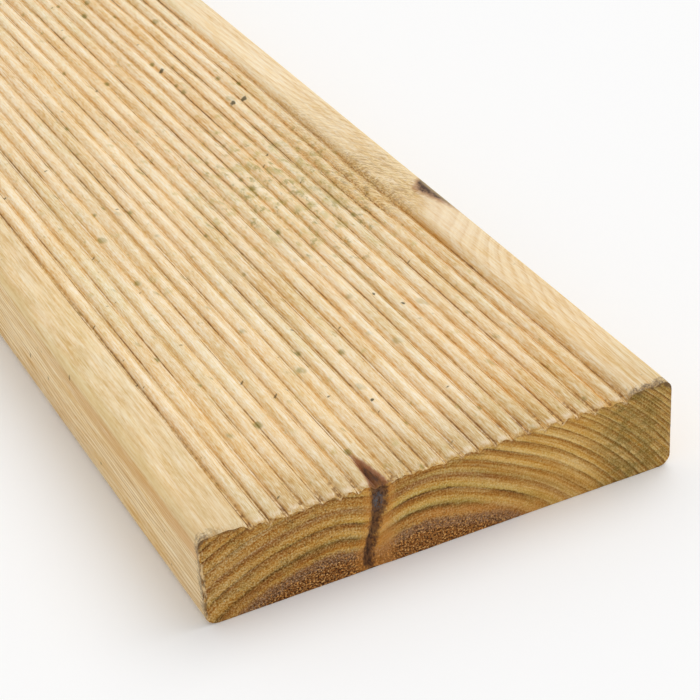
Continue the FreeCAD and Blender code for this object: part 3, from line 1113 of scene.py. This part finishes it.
@dataclass(frozen=True)
class SawnEndGrain:
    """Treated pine end grain off the saw: soaked golden brown, dark ring lines, rough and dull."""

    name: str = "sawn_treated_pine"
    fields: tuple[str, ...] = ("ring", "heart", "seam", "rim")
    line: str = "#6c4c25"
    murk: str = "#75602f"
    fresh: str = "#c09a48"
    golden: str = "#d7a54e"
    tan: str = "#b4823d"
    brown: str = "#8f602f"
    smoky: str = "#98704a"
    straw: str = "#e8c886"
    moss: str = "#ab9450"
    olive: str = "#7d6830"
    glow: str = "#c08443"
    fringe: str = "#946d4c"
    heart: str = "#96602b"
    clot: str = "#331b0c"
    crumb: str = "#e0a55c"
    bark: str = "#5f402c"
    pitch: str = "#2f2019"
    blue: str = "#5b6066"
    resin: str = "#c98639"
    fuzz: str = "#e6c998"
    # Grime along the upright edges, and painted shade under the top corners.
    grime_and_shade: str = "#6a5136"
    roughness: float = 0.9
    gloss: float = 0.15
    relief: float = 0.2
    streak_length: float = 20.0

    def make(self) -> bpy.types.Material:
        """Build the finish: rings, heartwood, saw grit, bark pocket and edges, in that order."""
        wood = WoodTree(self.name, self.fields)
        # The saw grit is drawn a few times as coarse as the cut cells, so that it shows.
        grit = wood.grain((0.45, 0.45, 0.45), detail=2.0)
        self.rings(wood)
        self.heartwood(wood)
        wood.mottle(wood.grain((1.4, 1.4, 1.4)), 0.08)
        coarse = wood.add("MapRange", Mask(wood.x, -40.0, 20.0, 0.5, 0.3).inputs())
        wood.mottle(grit, coarse)
        dark = Mask(wood.x, 30.0, -20.0, least=0.2)
        wood.stain(self.clot, wood.grain((0.5, 0.5, 0.5), shift=5.0), (0.55, 0.7), 0.7, (dark,))
        self.seam(wood)
        self.edges(wood)
        return wood.finish(grit, self.relief, self.roughness, self.gloss)

    def rings(self, wood: WoodTree) -> None:
        """Each ring from fresh yellow through gold and brown to a dark line, streaked along itself."""
        ring = wood.fields["ring"]
        for size, reach in ((6.0, 0.16), (0.8, 0.2)):
            waver = wood.add("Math", {0: wood.grain((size,) * 3), 1: 0.5}, operation="SUBTRACT")
            ring = wood.add("Math", {0: waver, 1: reach, 2: ring}, operation="MULTIPLY_ADD")
        share = wood.add("Math", {0: ring, 1: 0.07}, operation="ADD")
        share = wood.add("Math", {0: share}, operation="FRACT")
        tones = (
            (0.0, self.line),
            (1.0, self.brown),
            (0.07, self.line),
            (0.17, self.fresh),
            (0.38, self.golden),
            (0.68, self.tan),
        )
        wood.colour = wood.add(
            "ValToRGB", {"Fac": share}, stops=tuple((at, linear(tone)) for at, tone in tones)
        )
        across = wood.add("MapRange", Mask(wood.x, -60.0, 60.0).inputs())
        outward = wood.add("Math", {0: ring, 1: 16.0}, operation="DIVIDE")
        faint = ((0.0, 0.1), (1.0, 0.1), (0.07, 0.0), (0.125, 0.7), (0.19, 0.35), (0.25, 0.15))
        faint += ((0.4, 0.15), (0.6, 0.2))
        bright = ((0.0, 1.0), (1.0, 0.6), (0.1, 0.5), (0.25, 0.2), (0.5, 0.35), (0.65, 1.0), (0.85, 0.7))
        young = ((0.08, 0.0), (0.7, 0.0), (0.17, 1.0), (0.36, 0.7))
        weak, sides, early = (
            wood.add("ValToRGB", {"Fac": value}, stops=stops)
            for value, stops in ((outward, faint), (across, bright), (share, young))
        )
        wood.colour = wood.add(
            "Mix", {0: weak, 6: wood.colour, 7: linear(self.tan)}, out=2, data_type="RGBA"
        )
        wood.stain(self.smoky, wood.apart(ring, 2.0), (0.42, 0.12), 0.5)
        wood.stain(self.murk, wood.apart(ring, 0.0), (0.26, 0.06), 0.6)

        x = wood.add("Math", {0: wood.x, 1: self.streak_length}, operation="DIVIDE")
        z = wood.add("Math", {0: wood.z, 1: self.streak_length}, operation="DIVIDE")
        streaks = []
        for count, close, up, detail in (
            (wood.fields["ring"], 2.2, z, 3.0),
            (wood.fields["ring"], 7.0, z, 2.0),
            (ring, 0.85, 0.0, 1.0),
        ):
            count = wood.add("Math", {0: count, 1: close}, operation="MULTIPLY")
            spot = wood.add("CombineXYZ", {"X": count, "Y": x, "Z": up})
            streaks.append(wood.add("TexNoise", {"Vector": spot, "Scale": 1.0, "Detail": detail}))
        streak, fine, year = streaks
        good_year = Mask(year, 0.4, 0.62)
        wood.stain(self.tan, year, (0.5, 0.36), 0.6, (sides,))
        wood.stain(self.straw, early, (0.0, 1.0), 0.8, (sides, good_year))
        wood.stain(self.straw, streak, (0.52, 0.66), 0.5, (sides,))
        wood.stain(self.brown, streak, (0.47, 0.32), 0.6)
        wood.mottle(fine, 0.26)
        self.regions(wood, ring, early, good_year)

    def regions(self, wood: WoodTree, ring: Socket, early: Socket, good_year: Mask) -> None:
        """Tint the end's left, the rings over the heart, the right and the far right edge.

        Args:
            wood: the finish in the making.
            ring: rings counted out from the heart, with their waver.
            early: share of early wood.
            good_year: share of the paler years.
        """
        wood.stain(self.tan, wood.grain((5.0, 5.0, 3.5), shift=7.0), (0.5, 0.68), 0.45)
        wood.stain(self.brown, wood.x, (-16.0, -40.0), 0.2)
        left = Mask(wood.x, -20.0, -32.0)
        wood.stain(self.tan, early, (0.0, 1.0), 0.6, (left,))
        wood.stain(self.murk, wood.grain((6.0, 6.0, 3.5), shift=13.0), (0.5, 0.66), 0.35, (left,))
        dome = Mask(ring, 3.2, 1.8)
        right = Mask(wood.x, -20.0, -8.0, least=0.2)
        wood.stain(self.moss, early, (0.0, 1.0), 0.4, (dome, right))
        wood.stain(self.moss, wood.grain((6.0, 6.0, 2.5), shift=4.0), (0.5, 0.68), 0.25)
        lines = wood.add("Math", {0: ring, 1: 2.0}, operation="MULTIPLY")
        lines = wood.add("Math", {0: lines}, operation="FRACT")
        far = Mask(wood.x, 14.0, 40.0)
        wood.stain(self.line, lines, (0.4, 1.0), 0.42, (far, good_year))
        wood.stain(self.straw, lines, (0.5, 0.15), 0.35, (far,))
        fall = Mask(wood.x, 60.0, 52.0, least=0.5)
        patchy = Mask(wood.grain((4.0, 4.0, 2.5), shift=8.0), 0.4, 0.6, least=0.3)
        wood.stain(self.olive, wood.x, (34.0, 47.0), 0.8, (fall, patchy))
        wood.stain(self.golden, wood.x, (10.0, 26.0), 0.2, (Mask(wood.x, 46.0, 38.0),))

    def heartwood(self, wood: WoodTree) -> None:
        """Heartwood along the bottom: a smoky fringe, then red brown with dark clots and pale crumbs."""
        heart = wood.fields["heart"]
        edge = wood.fray(heart, (2.4, 2.4, 2.4), 3.0)
        right = Mask(wood.x, -14.0, -4.0)
        wood.stain(self.glow, edge, (5.4, 3.0), 0.6, (right,))
        wood.stain(self.fringe, edge, (2.6, 0.9), 0.92)
        wood.stain(self.heart, edge, (-0.2, -1.8), 0.92)
        inside = Mask(heart, 1.5, -2.5)
        wood.stain(self.clot, wood.x, (-20.0, -32.0), 0.12, (inside,))
        wood.stain(self.clot, wood.grain((0.5, 0.5, 0.5)), (0.46, 0.58), 0.86, (inside,))
        wood.stain(self.crumb, wood.grain((0.5, 0.5, 0.5), shift=2.0), (0.54, 0.62), 0.95, (inside,))

    def seam(self, wood: WoodTree) -> None:
        """The dark bark pocket, with a resin stain beside it and blue-grey bark where it is widest."""
        ragged = wood.grain((0.8, 0.8, 1.0), detail=4.0)
        edge = wood.add("Math", {0: ragged, 1: 3.6, 2: wood.fields["seam"]}, operation="MULTIPLY_ADD")
        right = Mask(wood.x, -18.5, -15.0)
        low = Mask(wood.z, 15.0, 8.0)
        wood.stain(self.glow, edge, (9.0, 3.5), 0.75, (right, low))
        wood.stain(self.resin, edge, (4.9, 1.9), 0.5)
        wood.stain(self.bark, edge, (2.7, 1.3), 0.88)
        inner = Mask(edge, 2.0, 1.0)
        wood.stain(self.pitch, wood.grain((0.7, 1.0, 1.2), shift=1.0), (0.45, 0.6), 0.75, (inner,))
        level = Mask(wood.apart(wood.z, 17.3), 3.2, 1.0)
        crust = Mask(ragged, 0.42, 0.6)
        wood.stain(self.blue, edge, (2.0, 1.2), 0.8, (level, crust))

    def edges(self, wood: WoodTree) -> None:
        """Painted brown shade and pale torn fibres under the reeds, grime along upright edges, and painted
        shade under the top corners.
        """
        rim = wood.fields["rim"]
        middle = Mask(wood.out, 50.0, 47.0)
        shade = wood.fray(rim, (1.2, 1.2, 0.8), -2.4, shift=6.0)
        wood.stain(self.brown, shade, (0.2, -0.9), 0.5, (middle,))
        hang = wood.fray(wood.fray(rim, (3.5, 3.5, 9.0), -4.5), (0.6, 0.6, 0.9), -3.0)
        wood.stain(self.fuzz, hang, (-3.1, -4.1), 0.85, (middle,))
        left = Mask(wood.x, 0.0, -10.0, least=0.15)
        for tint, shift, span in ((self.fuzz, 0.0, (62.6, 63.6)), (self.grime_and_shade, 4.0, (62.9, 63.7))):
            ragged = wood.fray(wood.out, (1.2, 1.2, 2.6), 7.0, detail=4.0, shift=shift)
            wood.stain(tint, ragged, span, 0.75, (left,))
        # Painted shade under the worn top corners of the end.
        corner = Mask(wood.out, 46.0, 52.0)
        wood.stain(self.grime_and_shade, wood.fray(rim, (2.0, 2.0, 2.0), -4.0), (-0.1, -1.5), 0.85, (corner,))


@dataclass(frozen=True)
class Studio:
    """A white floor, an even white surround, one broad lamp at the upper right and the camera."""

    eye: Triple = (-179.39, -1242.77, 291.58)
    azimuth: float = 24.736
    depression: float = 31.722
    roll: float = -3.685
    lens: float = 109.01
    sensor: float = 36.0
    surround: float = 0.76
    lamp: float = 0.3
    lamp_from: Triple = (0.48, 0.2, 0.85)
    lamp_spread: float = 50.0
    floor_colour: str = "#fafafa"
    floor_size: float = 8.0
    floor_drop: float = 0.1

    def build(self) -> None:
        """Set the view, the floor, the light and the camera."""
        bpy.context.scene.view_settings.view_transform = "Standard"
        self.lay_floor()
        self.light()
        self.aim()

    def lay_floor(self) -> None:
        """Lay the floor, a level square just under the board."""
        side = np.array([-0.5, 0.5]) * self.floor_size
        x, y = np.meshgrid(side, side)
        points = np.stack([x, y, np.full_like(x, -self.floor_drop * MM)], axis=-1).reshape(-1, 3)
        mesh = bpy.data.meshes.new("studio_floor")
        mesh.from_pydata(points, [], [(0, 1, 3, 2)])
        material = bpy.data.materials.new("studio_white")
        material.use_nodes = True
        shader = material.node_tree.nodes["Principled BSDF"]
        shader.inputs["Base Color"].default_value = linear(self.floor_colour)
        shader.inputs["Roughness"].default_value = 1.0
        shader.inputs["Specular IOR Level"].default_value = 0.0
        mesh.materials.append(material)
        floor = bpy.data.objects.new("studio_floor", mesh)
        bpy.context.scene.collection.objects.link(floor)

    def light(self) -> None:
        """Light the board evenly from the surround, which looks white itself, and by one broad lamp."""
        world = bpy.data.worlds.new("studio_surround")
        world.use_nodes = True
        tree = world.node_tree
        tree.nodes.clear()
        rays = [
            add_node(tree, "LightPath", out=name)
            for name in ("Is Camera Ray", "Is Glossy Ray", "Is Transmission Ray")
        ]
        seen = add_node(tree, "Math", {0: rays[0], 1: rays[1]}, operation="MAXIMUM")
        seen = add_node(tree, "Math", {0: seen, 1: rays[2]}, operation="MAXIMUM")
        strength = add_node(tree, "MapRange", Mask(seen, least=self.surround).inputs())
        glow = add_node(tree, "Background", {"Color": (1.0, 1.0, 1.0, 1.0), "Strength": strength})
        add_node(tree, "OutputWorld", {"Surface": glow})
        bpy.context.scene.world = world

        lamp = bpy.data.lights.new("studio_lamp", "SUN")
        lamp.energy = self.lamp * math.pi
        lamp.angle = math.radians(self.lamp_spread)
        holder = bpy.data.objects.new("studio_lamp", lamp)
        holder.rotation_euler = Vector(self.lamp_from).to_track_quat("Z", "Y").to_euler()
        bpy.context.scene.collection.objects.link(holder)

    def aim(self) -> None:
        """Place the camera from its eye point, its direction and its roll about that direction."""
        turn, down, roll = (math.radians(a) for a in (self.azimuth, self.depression, self.roll))
        ahead = Vector((math.sin(turn) * math.cos(down), math.cos(turn) * math.cos(down), -math.sin(down)))
        level = Vector((math.cos(turn), -math.sin(turn), 0.0))
        upright = level.cross(ahead)
        right = level * math.cos(roll) + upright * math.sin(roll)
        up = upright * math.cos(roll) - level * math.sin(roll)
        camera = bpy.data.cameras.new("studio_camera")
        camera.lens = self.lens
        camera.sensor_width = self.sensor
        holder = bpy.data.objects.new("studio_camera", camera)
        axes = Matrix((right, up, -ahead)).transposed().to_4x4()
        holder.matrix_world = Matrix.Translation(Vector(self.eye) * MM) @ axes
        bpy.context.scene.collection.objects.link(holder)
        bpy.context.scene.camera = holder


def main() -> None:
    """Build the board and the studio, and report each piece."""
    logging.basicConfig(level=logging.INFO, format="%(name)s: %(message)s")
    Studio().build()
    LOG.info("studio: floor, surround, lamp and camera")
    maker = DeckingBoard()
    board = maker.build()
    maker.dress(board)
    LOG.info("%s: %d points, %d faces", board.name, len(board.data.vertices), len(board.data.polygons))


if __name__ == "__main__":
    main()
